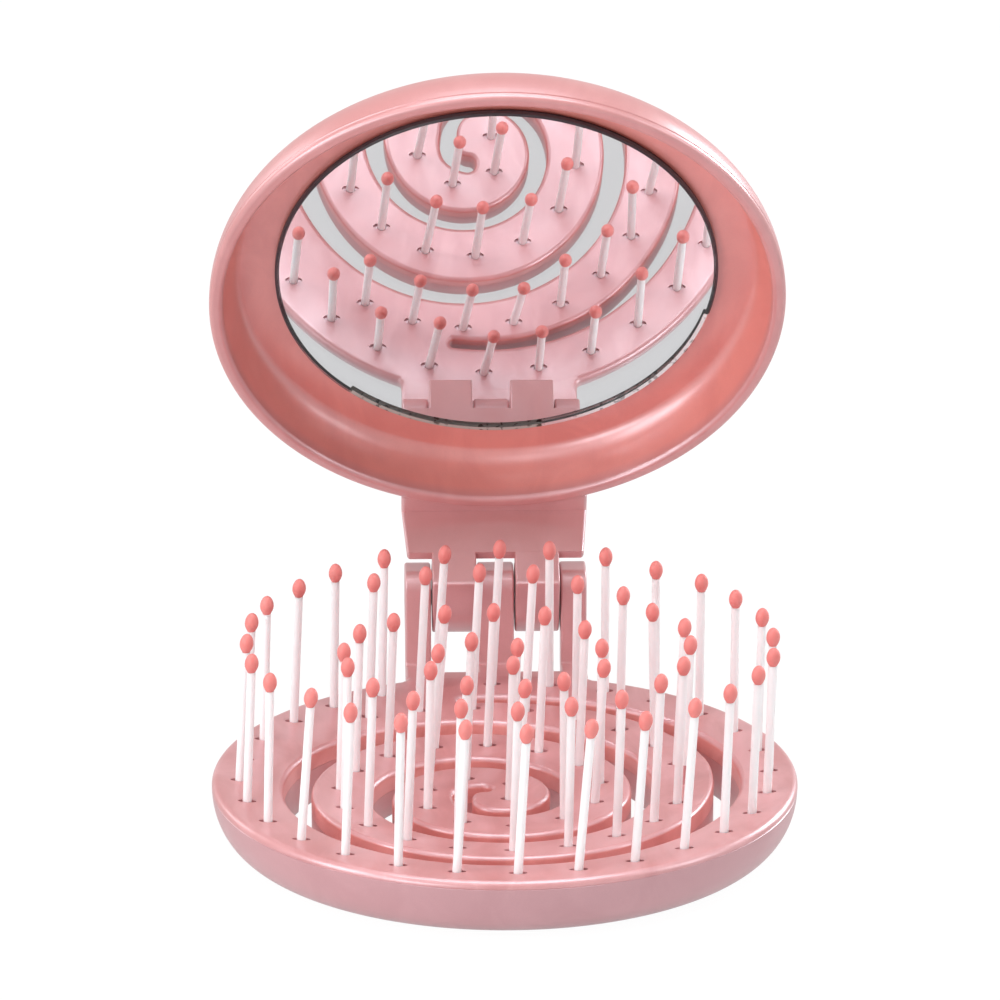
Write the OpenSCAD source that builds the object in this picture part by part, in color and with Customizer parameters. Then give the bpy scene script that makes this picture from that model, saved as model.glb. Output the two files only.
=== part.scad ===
// Round folding hairbrush with a mirror lid. Two shallow round halves of the
// same outline are joined by a knuckle hinge: the brush half carries a ring and
// a spiral of ball-ended bristles, the lid half carries a round mirror.
// Millimetres, +Z up. The origin is the centre of the brush half's underside.
// The hinge is at +Y and the user's side is -Y.

/* [Outline] */
// Outer radius of both round halves
shell_r = 44.2; // [43:0.1:46]
// Height of a half from its rim to its flat back
shell_h = 9.6; // [9.4:0.1:12]
// Radius where the rounded side meets the flat back
flat_r = 38; // [36:0.5:39]
// Distance of the parting line from the rim's edge
parting = 1.2; // [1:0.1:1.6]

/* [Brush plate] */
// Depth of the plate's hollow at its centre
dish = 3.3; // [0.5:0.1:3.6]
// Thickness of the plate between its walls
plate_t = 1.8; // [1.4:0.1:2]
// Depth of the upper shell's walls along the slot
wall_h = 2.9; // [2.6:0.1:3.2]
// Thickness of the walls along the slot
wall_t = 1.1; // [0.8:0.1:1.2]

/* [Bristles] */
// Number of bristles in the outer ring
ring_n = 28; // [20:1:30]
// Distance of the outer ring of bristles from the shell's edge
ring_in = 4.2; // [4.1:0.1:4.3]
// Distance between neighbouring bristles along the spiral
spiral_gap = 8.39; // [8.2:0.01:8.6]
// Diameter of a bristle
bristle_d = 1.3; // [1:0.1:1.4]
// Height of the bristle tips above the plate
bristle_h = 23.45; // [18:0.05:24]
// Diameter of a bristle's ball tip
tip_d = 2; // [1.6:0.1:2.2]
// Length of a bristle's ball tip
tip_h = 3.2; // [2:0.1:3.6]

/* [Hinge] */
// Distance of the hinge axis from the shell's edge
hinge_out = 9.8; // [9.6:0.1:11]
// Height of the hinge axis above the brush plate's rim
hinge_up = 9.35; // [9:0.05:10]
// Distance of the hinge axis from the lid's rim plane
hinge_to_lid = 9.85; // [9.5:0.05:11]
// Outer radius of the knuckles
knuckle_r = 5.5; // [5:0.1:5.6]
// Radius of the steel hinge pin
pin_r = 1.25; // [1:0.05:1.5]
// Angle that the lid is opened from its closed position
open_angle = 62.5; // [0:0.5:180]

/* [Lid and mirror] */
// Extra height of the lid's domed back at its centre
dome = 1.4; // [0.5:0.1:3]
// Depth of the mirror's face below the lid's rim
mirror_in = 7.15; // [6.6:0.05:7.5]
// Radius of the mirror
mirror_r = 34.1; // [30:0.1:35]
// Thickness of the mirror's glass
glass_t = 1; // [0.8:0.1:1.2]

/* [Hidden] */
$fn = 64;

pearl_pink = [0.90, 0.66, 0.67];
salmon = [0.95, 0.52, 0.48];
nylon = [0.96, 0.94, 0.94];

hinge_y = shell_r + hinge_out;
hinge_z = shell_h + hinge_up;
lip_z = hinge_z + hinge_to_lid;
side_w = shell_r - flat_r;
side_h = shell_h - parting;
edge_in = 4.2;
side_steps = 8;
rim_round = 0.9;

// Height of the plate's surface at a distance r from the centre: a hollow made
// of cones between evenly spaced rings, level outside the last ring.
dish_r = shell_r - edge_in;
dish_rings = [0, dish_r / 4, dish_r / 2, dish_r * 3 / 4, dish_r];
function dish_z(r) = shell_h - dish * (1 - pow(min(r / dish_r, 1), 2));
dish_table = [for (r = concat(dish_rings, shell_r)) [r, dish_z(r)]];
function plate_z(r) = lookup(r, dish_table);

// A spiral about its own centre: the radius grows by a fixed pitch per turn.
// Its bristles run inwards as far as its radius lets them.
spiral_centre = [-2, -0.4];
spiral_in = 14.98;
spiral_r0 = shell_r - spiral_in;
spiral_pitch = 12.7;
spiral_start = 122.7;
spiral_min_r = 2;
function spiral_r(a) = spiral_r0 + spiral_pitch * a / 360;
function on_spiral(a, r) = spiral_centre + r * [cos(a), sin(a)];
function next_angle(a) = a - spiral_gap / spiral_r(a) * 180 / PI;
function spiral_angles(a) = spiral_r(a) < spiral_min_r ? [] : concat(a, spiral_angles(next_angle(a)));
bristle_angles = spiral_angles(spiral_start);
spiral_points = [for (a = bristle_angles) on_spiral(a, spiral_r(a))];
spiral_n = len(spiral_points);
outer_turn_n = 20;
ring_r = shell_r - ring_in;
ring_start = 91.2;
ring_points = [for (i = [0:ring_n - 1]) let (a = ring_start + 360 * i / ring_n)
               ring_r * [cos(a), sin(a)]];
outer_points = [for (i = [0:outer_turn_n - 1]) spiral_points[i]];
inner_points = [for (i = [outer_turn_n:spiral_n - 1]) spiral_points[i]];

// The slot runs half a pitch outside the bristles. It starts narrow behind the
// hinge's side, is widest on its first turn and curls up at the centre.
slot_start = 96;
slot_in = 3.9;
slot_max_r = ring_r - slot_in;
slot_lead_from = 60;
slot_lead = 0.02;
slot_min_r = 4.4;
slot_eye = (slot_min_r - spiral_pitch / 2 - spiral_r0) * 360 / spiral_pitch;
slot_curl_from = slot_eye - 46.4;
slot_curl = 0.016;
slot_end = slot_eye - 86.4;
slot_steps = 110;
cap_steps = 6;
slot_half = [[-970, 1.4], [-800, 1.45], [-640, 1.5], [-450, 1.7], [-300, 1.8], [-190, 2.1],
             [-10, 2.15], [30, 1.4], [58, 0.95], [96, 0.7]];
function slot_r(a) = max(slot_min_r - slot_curl * max(0, slot_curl_from - a),
                         min(slot_max_r - slot_lead * max(0, a - slot_lead_from),
                             spiral_r(a) + spiral_pitch / 2));

// Carriers hold the bristles under the plate.
carrier_t = 1.2;
carrier_half = 1.2;

// Knuckles, from the middle outwards.
mid_post_w = 5.7;
knuckle_w = 6.6;
knuckle_gap = 0.35;
knuckle_x = mid_post_w / 2 + knuckle_gap + knuckle_w / 2;
end_post_w = 4.1;
hinge_w = mid_post_w + 4 * knuckle_gap + 2 * knuckle_w + 2 * end_post_w;
pin_play = 0.06;
pin_press = 0.02;

// The tab on the brush plate's rim that carries the posts, and the notch for it
// in the wall of the back shell.
arm_t = 3.2;
tab_step = 0.4;
tab_front = shell_r + tab_step;
arm_root = 1.6;
skirt_gap = 1.4;
skirt_t = 1.1;
skirt_h = 2.6;
notch_play = 0.1;
notch_in = 5;

// The tab on the lid's rim, from its web down to its two knuckles.
tab_out = 8.5;
tab_t = 1.5;
tab_end = 1.2;
web_d = 0.7;
web_low = 3.8;

// The lid frame's lip and cove, and the layers behind the mirror's glass.
lip_w = 2.1;
lip_in = shell_r - lip_w;
web_overlap = 0.15;
web_in = lip_in + web_overlap;
cove_w = 3.1;
cove_top = 0.8;
frame_t = 0.65;
silver_t = 0.1;
backing_t = 0.1;
pad_t = 0.3;
pad_r = 31;
shelf_d = mirror_in + glass_t + silver_t + backing_t + pad_t;
rib_t = 0.8;

// The cover clears the back of the frame.
cover_gap = 0.55;
cover_t = 0.65;
cover_h = shelf_d + rib_t + cover_gap + cover_t;
cove_in = lip_in - cove_w;
cover_in = 2.4;
cover_r = cove_in - cover_in;

// Points on a quarter ellipse about c, from angle a0 to a1, with half axes w and h.
function arc_points(c, w, h, a0, a1, n) =
    [for (i = [0:n]) let (a = a0 + (a1 - a0) * i / n) [c[0] + w * cos(a), c[1] + h * sin(a)]];

// Outline of a strip that follows a spiral inwards from angle a0 to a1 in n
// steps, with round ends.
function strip(a0, a1, n, radius, half) =
    let (angles = [for (i = [0:n]) a0 + (a1 - a0) * i / n])
    concat([for (a = angles) on_spiral(a, radius(a) + half(a))],
           end_cap(a1, 0, -180, radius, half),
           [for (i = [n:-1:0]) on_spiral(angles[i], radius(angles[i]) - half(angles[i]))],
           end_cap(a0, 180, 0, radius, half));
function end_cap(a, from, to, radius, half) =
    [for (i = [1:cap_steps - 1]) let (t = a + from + (to - from) * i / cap_steps)
     on_spiral(a, radius(a)) + half(a) * [cos(t), sin(t)]];

module slot_outline(extra) {
    half = function (a) lookup(a, slot_half) + extra;
    polygon(strip(slot_start, slot_end, slot_steps, function (a) slot_r(a), half));
}

// A ring-shaped slab under the plate's surface, between two depths.
module under_plate(from, to, r_out) {
    rings = [for (r = dish_rings) if (r < r_out) r];
    top = [for (r = concat(rings, r_out)) [r, plate_z(r) - from]];
    low = [for (i = [len(top) - 1:-1:0]) [top[i][0], plate_z(top[i][0]) - to]];
    rotate_extrude() polygon(concat(top, low));
}

module at_points(points) {
    for (p = points) translate([p[0], p[1], 0]) children();
}

// Moves a lid piece from its closed place to its open place.
module lid_place() {
    translate([0, hinge_y, hinge_z]) rotate([-open_angle, 0, 0])
        translate([0, -hinge_y, -hinge_z]) children();
}

// Extrudes an outline drawn in Y and Z by w along X, centred at x.
module along_x(x, w) {
    translate([x - w / 2, 0, 0]) rotate([90, 0, 90]) linear_extrude(w) children();
}

module hinge_bore(r) {
    along_x(0, hinge_w + 2) translate([hinge_y, hinge_z]) circle(r = r, $fn = 48);
}

// Side view of one hinge post: an arm out of the plate's rim, a flat front and
// a rounded head about the hinge axis.
module post_outline() {
    front = hinge_y - knuckle_r;
    head_up = 1.3;
    corner = knuckle_r - head_up;
    arm_z = shell_h - arm_t;
    arm_y = tab_front - arm_root;
    knee = 2.6;
    bend = 1.8;
    neck = 4.9;
    polygon(concat([[arm_y, shell_h], [arm_y, arm_z], [front + knee, arm_z],
                    [front + knee + bend, arm_z + bend], [front + neck, hinge_z - knuckle_r]],
                   arc_points([hinge_y, hinge_z], knuckle_r, knuckle_r, -80, 90, 14),
                   arc_points([front + corner, hinge_z + head_up], corner, corner, 90, 180, 8),
                   [[front, shell_h]]));
}

module brush_plate() {
    skirt_out = shell_r - skirt_gap;
    skirt_in = skirt_out - skirt_t;
    skirt_low = shell_h - skirt_h;
    edge = [shell_r - rim_round, shell_h - rim_round];
    shell = concat([for (r = dish_rings) [r, plate_z(r) - plate_t]],
                   [[skirt_in, shell_h - plate_t], [skirt_in, skirt_low], [skirt_out, skirt_low],
                    [skirt_out, shell_h - parting], [shell_r, shell_h - parting]],
                   arc_points(edge, rim_round, rim_round, 0, 90, 4),
                   [for (i = [len(dish_rings) - 1:-1:0]) [dish_rings[i], plate_z(dish_rings[i])]]);
    color(pearl_pink) difference() {
        union() {
            rotate_extrude() polygon(shell);
            intersection() {
                linear_extrude(shell_h) slot_outline(wall_t);
                under_plate(plate_t / 2, wall_h, dish_r);
            }
            for (x = [-1, 1]) along_x(x * (hinge_w - end_post_w) / 2, end_post_w) post_outline();
            along_x(0, mid_post_w) post_outline();
            hinge_tab();
        }
        translate([0, 0, -1]) linear_extrude(shell_h + 2) slot_outline(0);
        translate([0, 0, -1]) linear_extrude(shell_h + 2)
            at_points(concat(ring_points, spiral_points)) hole_outline();
        hinge_bore(pin_r + pin_press);
    }
}

// The full-width tab that carries the posts: it grows out of the skirt and the rim.
module hinge_tab() {
    root = 4.4;
    overlap = 0.1;
    difference() {
        translate([-hinge_w / 2, shell_r - root, shell_h - arm_t])
            cube([hinge_w, tab_front - shell_r + root, arm_t]);
        translate([0, 0, -1]) cylinder(r = shell_r - skirt_gap - overlap, h = shell_h + 2);
    }
}

// Outline of a bristle's hole: round in the middle, with a crosswise slot
// that tapers to a point at both ends.
module hole_outline() {
    play = 0.15;
    r = bristle_d / 2 + play;
    slot_l = 3.1;
    waist = 0.48;
    corner = [[0.5 * slot_l, 0], [0.38 * slot_l, 0.9 * waist], [r, waist], [0.45 * r, r]];
    function turned(sx, sy) = [for (p = corner) [sx * p[0], sy * p[1]]];
    function back(list) = [for (i = [len(list) - 1:-1:0]) list[i]];
    polygon(concat(turned(1, 1), back(turned(-1, 1)), turned(-1, -1), back(turned(1, -1))));
}

module brush_back() {
    side_t = 1.15;
    floor_t = 1.5;
    outside = arc_points([flat_r, side_h], side_w, side_h, 0, -90, side_steps);
    inside = arc_points([flat_r, side_h], side_w - side_t, side_h - floor_t, -90, 0, side_steps);
    notch_w = hinge_w + 2 * notch_play;
    color(pearl_pink) difference() {
        union() {
            difference() {
                rotate_extrude() polygon(concat(outside, [[0, 0], [0, floor_t]], inside));
                translate([-notch_w / 2, shell_r - notch_in, shell_h - arm_t])
                    cube([notch_w, notch_in + 1, arm_t]);
            }
            intersection() {
                linear_extrude(shell_h) slot_outline(wall_t);
                under_plate(wall_h, shell_h + 1, dish_r);
            }
        }
        translate([0, 0, -1]) linear_extrude(shell_h + 2) slot_outline(0);
    }
}

module ring_carrier() {
    half = 1.5;
    r_in = ring_r - half;
    r_out = ring_r + half;
    z = shell_h - plate_t;
    z_in = plate_z(r_in) - plate_t;
    color(pearl_pink) difference() {
        rotate_extrude()
            polygon([[r_in, z_in], [dish_r, z], [r_out, z], [r_out, z - carrier_t],
                     [dish_r, z - carrier_t], [r_in, z_in - carrier_t]]);
        at_points(ring_points) cylinder(d = bristle_d, h = shell_h, $fn = 24);
    }
}

module spiral_carrier() {
    first = spiral_start + 2;
    last = bristle_angles[spiral_n - 1] - 20;
    steps = 90;
    half = function (a) carrier_half;
    color(pearl_pink) difference() {
        intersection() {
            linear_extrude(shell_h) polygon(strip(first, last, steps, function (a) spiral_r(a), half));
            under_plate(plate_t, plate_t + carrier_t, dish_r);
        }
        at_points(spiral_points) cylinder(d = bristle_d, h = shell_h, $fn = 24);
    }
}

// One bristle from under its carrier to the foot of its tip, and one tip.
module bristle_at(p) {
    foot = plate_z(norm(p)) - plate_t - carrier_t;
    top = plate_z(norm(p)) + bristle_h - tip_h;
    translate([p[0], p[1], foot]) cylinder(d = bristle_d, h = top - foot, $fn = 24);
}

module tip_at(p) {
    r = tip_d / 2;
    translate([p[0], p[1], plate_z(norm(p)) + bristle_h - tip_h])
        rotate_extrude($fn = 24)
            polygon([[0, 0], [0.7 * r, 0], [0.95 * r, 0.25 * tip_h], [r, 0.5 * tip_h],
                     [0.8 * r, 0.8 * tip_h], [0.4 * r, 0.97 * tip_h], [0, tip_h]]);
}

module bristles(points) {
    color(nylon) for (p = points) bristle_at(p);
}

module tips(points) {
    color(salmon) for (p = points) tip_at(p);
}

module hinge_pin() {
    inset = 0.3;
    color("silver") along_x(0, hinge_w - 2 * inset)
        translate([hinge_y, hinge_z]) circle(r = pin_r, $fn = 48);
}

// Side view of the lid's tab, from its web on the rim down to above the posts.
module lid_tab_outline() {
    y = hinge_y - tab_out;
    root = 3;
    corner = 1;
    polygon([[y, hinge_z + tab_end], [y + tab_t, hinge_z + tab_end],
             [y + tab_t, lip_z + web_low - corner], [y + tab_t - corner, lip_z + web_low],
             [web_in - root, lip_z + web_low], [web_in - root, lip_z + web_d], [y, lip_z + web_d]]);
}

// Side view of a lid knuckle: a round about the hinge axis and the tongue that
// runs up from it into the tab, with a lower corner that is cut back.
module lid_knuckle_outline() {
    y = hinge_y - tab_out;
    cut = [0.4, -2];
    foot = [2.2, -3.9];
    belly = [-2.2, -5];
    translate([hinge_y, hinge_z]) circle(r = knuckle_r);
    polygon([[y, hinge_z + tab_end + 0.2], [y, hinge_z], [y + cut[0], hinge_z + cut[1]],
             [y + foot[0], hinge_z + foot[1]], [hinge_y + belly[0], hinge_z + belly[1]],
             [hinge_y, hinge_z], [y + 2 * tab_t, hinge_z + tab_end + 1.2],
             [y + tab_t, hinge_z + tab_end + 1.2]]);
}

module lid_frame() {
    cove_steps = 8;
    edge = 0.7;
    rib_r = cove_in - 1.5;
    back_w = cove_w + frame_t;
    back_h = shelf_d - 0.3;
    front = concat([[shell_r, parting]],
                   arc_points([shell_r - edge, edge], edge, -edge, 0, 90, 4),
                   arc_points([lip_in + cove_top, cove_top], -cove_top, -cove_top, 90, 0, 4),
                   arc_points([cove_in, cove_top], cove_w, shelf_d - cove_top, 0, 90, cove_steps));
    back = concat([[0, shelf_d], [0, shelf_d + rib_t], [rib_r, shelf_d + rib_t]],
                  arc_points([cove_in, cove_top], back_w, back_h, 90, 8, cove_steps),
                  [[cove_in + back_w, parting]]);
    color(pearl_pink) lid_place() difference() {
        union() {
            translate([0, 0, lip_z]) rotate_extrude() polygon(concat(front, back));
            difference() {
                along_x(0, hinge_w) lid_tab_outline();
                translate([0, 0, lip_z]) cylinder(r = web_in, h = shell_h);
            }
            for (x = [-1, 1]) along_x(x * knuckle_x, knuckle_w) lid_knuckle_outline();
        }
        hinge_bore(pin_r + pin_play);
    }
}

module lid_cover() {
    side_t = 0.9;
    crown_t = 1.1;
    dome_steps = 4;
    w = shell_r - cover_r;
    h = cover_h - parting;
    outside = arc_points([cover_r, parting], w, h, 0, 90, side_steps);
    crown = [for (i = [1:dome_steps]) let (r = cover_r * (1 - i / dome_steps))
             [r, cover_h + dome * (1 - pow(r / cover_r, 2))]];
    crown_in = [for (i = [dome_steps:-1:1]) crown[i - 1] - [0, crown_t]];
    inside = arc_points([cover_r, parting], w - side_t, h - cover_t, 90, 0, side_steps);
    notch_w = hinge_w + 2 * notch_play;
    color(pearl_pink) lid_place() translate([0, 0, lip_z]) difference() {
        rotate_extrude() polygon(concat(outside, crown, crown_in, inside));
        translate([-notch_w / 2, shell_r - notch_in, 0])
            cube([notch_w, notch_in + 1, web_low + notch_play]);
    }
}

// A disc behind the lid's rim plane, from depth d, of thickness t.
module lid_disc(r, d, t) {
    lid_place() translate([0, 0, lip_z + d]) cylinder(r = r, h = t);
}

module mirror_glass() {
    bevel = 0.25;
    color([0.75, 0.8, 0.82]) lid_place() translate([0, 0, lip_z + mirror_in]) rotate_extrude()
        polygon([[0, 0], [mirror_r - bevel, 0], [mirror_r, bevel], [mirror_r, glass_t], [0, glass_t]]);
}

module mirror_silver() {
    color("silver") lid_disc(mirror_r - 0.1, mirror_in + glass_t, silver_t);
}

module mirror_backing() {
    color("dimgray") lid_disc(mirror_r - 0.1, mirror_in + glass_t + silver_t, backing_t);
}

module mirror_pad() {
    color("white") lid_disc(pad_r, shelf_d - pad_t, pad_t);
}

brush_plate();
brush_back();
ring_carrier();
spiral_carrier();
bristles(ring_points);  // ring_bristles
bristles(outer_points);  // outer_spiral_bristles
bristles(inner_points);  // inner_spiral_bristles
tips(ring_points);  // ring_tips
tips(outer_points);  // outer_spiral_tips
tips(inner_points);  // inner_spiral_tips
hinge_pin();
lid_frame();
lid_cover();
mirror_glass();
mirror_silver();
mirror_backing();
mirror_pad();
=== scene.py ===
import math

import bmesh
import bpy
from mathutils import Matrix, Vector


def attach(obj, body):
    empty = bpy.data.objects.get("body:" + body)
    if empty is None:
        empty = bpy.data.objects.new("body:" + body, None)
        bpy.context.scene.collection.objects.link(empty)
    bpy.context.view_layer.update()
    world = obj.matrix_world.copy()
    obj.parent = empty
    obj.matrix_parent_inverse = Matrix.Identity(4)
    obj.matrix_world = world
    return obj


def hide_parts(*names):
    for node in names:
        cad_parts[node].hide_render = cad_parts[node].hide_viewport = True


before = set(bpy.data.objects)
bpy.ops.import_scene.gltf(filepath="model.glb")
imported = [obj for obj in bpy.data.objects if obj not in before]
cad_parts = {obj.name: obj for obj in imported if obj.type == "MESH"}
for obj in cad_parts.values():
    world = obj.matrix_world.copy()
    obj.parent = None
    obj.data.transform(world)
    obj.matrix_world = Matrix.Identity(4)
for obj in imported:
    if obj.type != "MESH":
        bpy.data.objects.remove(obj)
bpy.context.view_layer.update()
scene = bpy.context.scene
scene.view_settings.view_transform = "Standard"


# ---- Camera -------------------------------------------------------------------
# A long lens, a little above the brush and a little to its left, so that the
# plate, the mirror and what the mirror shows are all in view.
MM = 0.001
CAMERA_AT = Vector((-29.4, -1040.3, 406.4)) * MM
CAMERA_TURN = math.radians(-1.58)
CAMERA_PITCH = math.radians(18.74)
LENS_PER_SENSOR = 7.373

camera_data = bpy.data.cameras.new("camera")
camera_data.sensor_width = 36
camera_data.lens = LENS_PER_SENSOR * camera_data.sensor_width
camera_data.clip_start = 0.05
camera_data.clip_end = 50
camera = bpy.data.objects.new("camera", camera_data)
camera.location = CAMERA_AT
camera.rotation_euler = (math.pi / 2 - CAMERA_PITCH, 0, CAMERA_TURN)
scene.collection.objects.link(camera)
scene.camera = camera


# ---- Floor, surroundings and lamps --------------------------------------------
# A pale floor in a pale room. Seen directly both are white, and gloss and the
# mirror see them as light grey, while the floor still takes the brush's shadow.
SEEN_WHITE, SEEN_IN_GLOSS, ROOM_LIGHT = 1.0, 0.7, 0.16
FLOOR_GLOW, FLOOR_GLOW_SHARE = 1.04, 0.93
FLOOR_PALE = 0.9
FLOOR_HALF, FLOOR_DROP = 6, 0.0002


def link(tree, source, target):
    """Joins an output of a node to a socket."""
    tree.links.new(source, target)


def larger(tree, one, other):
    """The larger of two values."""
    node = tree.nodes.new("ShaderNodeMath")
    node.operation = "MAXIMUM"
    link(tree, one, node.inputs[0])
    link(tree, other, node.inputs[1])
    return node.outputs[0]


def seen_strength(tree):
    """Where direct, glossy and transmitted rays fall, and the strength they see."""
    path = tree.nodes.new("ShaderNodeLightPath").outputs
    reflected = larger(tree, path["Is Glossy Ray"], path["Is Transmission Ray"])
    seen = larger(tree, path["Is Camera Ray"], reflected)
    level = tree.nodes.new("ShaderNodeMix")
    level.inputs["A"].default_value = SEEN_IN_GLOSS
    level.inputs["B"].default_value = SEEN_WHITE
    link(tree, path["Is Camera Ray"], level.inputs["Factor"])
    return seen, level.outputs["Result"]


world = bpy.data.worlds.new("room")
world.use_nodes = True
scene.world = world
room = world.node_tree
seen, strength = seen_strength(room)
room_level = room.nodes.new("ShaderNodeMix")
room_level.inputs["A"].default_value = ROOM_LIGHT
link(room, seen, room_level.inputs["Factor"])
link(room, strength, room_level.inputs["B"])
link(room, room_level.outputs["Result"], room.nodes["Background"].inputs["Strength"])
room.nodes["Background"].inputs["Color"].default_value = (1, 1, 1, 1)

floor_bm = bmesh.new()
bmesh.ops.create_grid(floor_bm, x_segments=8, y_segments=8, size=FLOOR_HALF)
bmesh.ops.translate(floor_bm, verts=floor_bm.verts, vec=(0, 0, -FLOOR_DROP))
floor_mesh = bpy.data.meshes.new("floor")
floor_bm.to_mesh(floor_mesh)
floor_bm.free()
floor = bpy.data.objects.new("floor", floor_mesh)
scene.collection.objects.link(floor)

floor_paint = bpy.data.materials.new("pale_floor")
floor_paint.use_nodes = True
tree = floor_paint.node_tree
matt = tree.nodes["Principled BSDF"]
matt.inputs["Base Color"].default_value = (FLOOR_PALE, FLOOR_PALE, FLOOR_PALE, 1)
matt.inputs["Roughness"].default_value = 0.9
matt.inputs["Specular IOR Level"].default_value = 0.0
glow = tree.nodes.new("ShaderNodeEmission")
glow.inputs["Color"].default_value = (FLOOR_GLOW, FLOOR_GLOW, FLOOR_GLOW, 1)
seen, strength = seen_strength(tree)
link(tree, strength, glow.inputs["Strength"])
share = tree.nodes.new("ShaderNodeMath")
share.operation = "MULTIPLY"
share.inputs[1].default_value = FLOOR_GLOW_SHARE
link(tree, seen, share.inputs[0])
blend_in = tree.nodes.new("ShaderNodeMixShader")
link(tree, share.outputs[0], blend_in.inputs["Fac"])
link(tree, matt.outputs["BSDF"], blend_in.inputs[1])
link(tree, glow.outputs["Emission"], blend_in.inputs[2])
link(tree, blend_in.outputs["Shader"], tree.nodes["Material Output"].inputs["Surface"])
floor_mesh.materials.append(floor_paint)


LAMPS_AIM = Vector((0, 0.02, 0.05))


def soft_lamp(name, at, size, power):
    """A soft box aimed at the brush, of a size in metres and a power in watts."""
    data = bpy.data.lights.new(name, "AREA")
    data.shape = "RECTANGLE"
    data.size, data.size_y = size
    data.energy = power
    lamp = bpy.data.objects.new(name, data)
    lamp.location = at
    lamp.rotation_euler = (LAMPS_AIM - Vector(at)).to_track_quat("-Z", "Y").to_euler()
    scene.collection.objects.link(lamp)


soft_lamp("top_box", (0, -0.14, 0.72), (0.7, 0.28), 3.0)
soft_lamp("front_high_box", (-0.25, -0.7, 0.75), (0.5, 0.35), 0.8)
soft_lamp("top_rear_box", (0, 0.18, 0.7), (0.45, 0.14), 0.9)
soft_lamp("left_box", (-0.7, -0.28, 0.32), (0.3, 0.5), 2.5)
soft_lamp("low_left_box", (-0.55, -0.75, 0.16), (0.4, 0.3), 2.1)
soft_lamp("right_box", (0.72, -0.2, 0.4), (0.3, 0.5), 1.4)
soft_lamp("right_rear_box", (0.6, 0.5, 0.3), (0.3, 0.3), 2.8)
soft_lamp("left_rear_box", (-0.6, 0.5, 0.3), (0.3, 0.3), 0.6)


# ---- Pearl plastic ------------------------------------------------------------
# Both shells and the lid are moulded in one pink plastic with a fine pearl
# pigment, which flowed in soft clouds and gives it a satin shine.
def set_sockets(node, constants):
    """Puts constants on a node's own sockets."""
    for socket, value in constants.items():
        node.inputs[socket].default_value = value


def value_node(tree, kind, constants=None, **settings):
    """A shader node with its settings, and constants on some of its sockets."""
    node = tree.nodes.new(kind)
    for name, value in settings.items():
        setattr(node, name, value)
    set_sockets(node, constants or {})
    return node


def new_material(name):
    """A new material, with its node tree and its main shader."""
    material = bpy.data.materials.new(name)
    material.use_nodes = True
    tree = material.node_tree
    return material, tree, tree.nodes["Principled BSDF"]


def noise(tree, scale, detail=2, place=None):
    """Noise that stays put on the piece, in the piece's own coordinates."""
    place = place or value_node(tree, "ShaderNodeTexCoord").outputs["Object"]
    texture = value_node(tree, "ShaderNodeTexNoise", {"Scale": scale, "Detail": detail})
    link(tree, place, texture.inputs["Vector"])
    return texture.outputs["Fac"]


def soft_step(tree, value, low, high):
    """0 where a value is below low and 1 where it is above high, with a soft edge."""
    step = value_node(tree, "ShaderNodeMapRange", {"From Min": low, "From Max": high},
                      interpolation_type="SMOOTHSTEP")
    link(tree, value, step.inputs["Value"])
    return step.outputs["Result"]


def ranged(tree, value, low, high, start=0.0, end=1.0):
    """A number that goes from low to high as a value goes from start to end."""
    node = value_node(tree, "ShaderNodeMapRange",
                      {"From Min": start, "From Max": end, "To Min": low, "To Max": high})
    link(tree, value, node.inputs["Value"])
    return node.outputs["Result"]


def mixed(tree, value, low, high):
    """A colour that goes from low to high as a value goes from 0 to 1."""
    mix = value_node(tree, "ShaderNodeMix", data_type="RGBA")
    set_sockets(mix, {6: (*low, 1), 7: (*high, 1)})
    link(tree, value, mix.inputs["Factor"])
    return mix.outputs[2]


def multiplied(tree, value, colour, tint):
    """A colour multiplied by a tint where a value is 1, and left alone where it is 0."""
    mix = value_node(tree, "ShaderNodeMix", data_type="RGBA", blend_type="MULTIPLY")
    mix.inputs[7].default_value = (*tint, 1)
    link(tree, value, mix.inputs["Factor"])
    link(tree, colour, mix.inputs[6])
    return mix.outputs[2]


def group_tree(name, inputs, outputs):
    """An empty shader node group with the named sockets."""
    tree = bpy.data.node_groups.new(name, "ShaderNodeTree")
    for socket, kind, default in inputs:
        made = tree.interface.new_socket(socket, in_out="INPUT", socket_type=kind)
        made.default_value = default
    for socket, kind in outputs:
        tree.interface.new_socket(socket, in_out="OUTPUT", socket_type=kind)
    return tree, tree.nodes.new("NodeGroupInput"), tree.nodes.new("NodeGroupOutput")


CLOUD_STRETCH = (1.0, 0.55, 0.8)
CLOUDS = {"Scale": 90, "Detail": 4, "Roughness": 0.55, "Distortion": 1.2}
CLOUD_LOW, CLOUD_HIGH = 0.34, 0.68
FLAKE_SCALE, FLAKE_SPARKLE, FLAKE_LOW, FLAKE_HIGH = 5200, 0.025, 0.3, 0.7
CLOUD_GLOSS = -0.07
RIPPLE_SCALE, RIPPLE_STRENGTH, RIPPLE_H = 260, 0.05, 0.0004

pearl_flow, flow_in, flow_out = group_tree(
    "pearl_flow",
    [("Pigment", "NodeSocketColor", (0.7, 0.4, 0.4, 1)),
     ("Bright", "NodeSocketColor", (0.8, 0.5, 0.5, 1)),
     ("Gloss", "NodeSocketFloat", 0.3)],
    [("Color", "NodeSocketColor"), ("Roughness", "NodeSocketFloat"), ("Height", "NodeSocketFloat")])
place = value_node(pearl_flow, "ShaderNodeTexCoord").outputs["Object"]
stretch = value_node(pearl_flow, "ShaderNodeMapping", {"Scale": CLOUD_STRETCH})
link(pearl_flow, place, stretch.inputs["Vector"])
clouds = value_node(pearl_flow, "ShaderNodeTexNoise", CLOUDS)
link(pearl_flow, stretch.outputs["Vector"], clouds.inputs["Vector"])
clouded = soft_step(pearl_flow, clouds.outputs["Fac"], CLOUD_LOW, CLOUD_HIGH)
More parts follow.
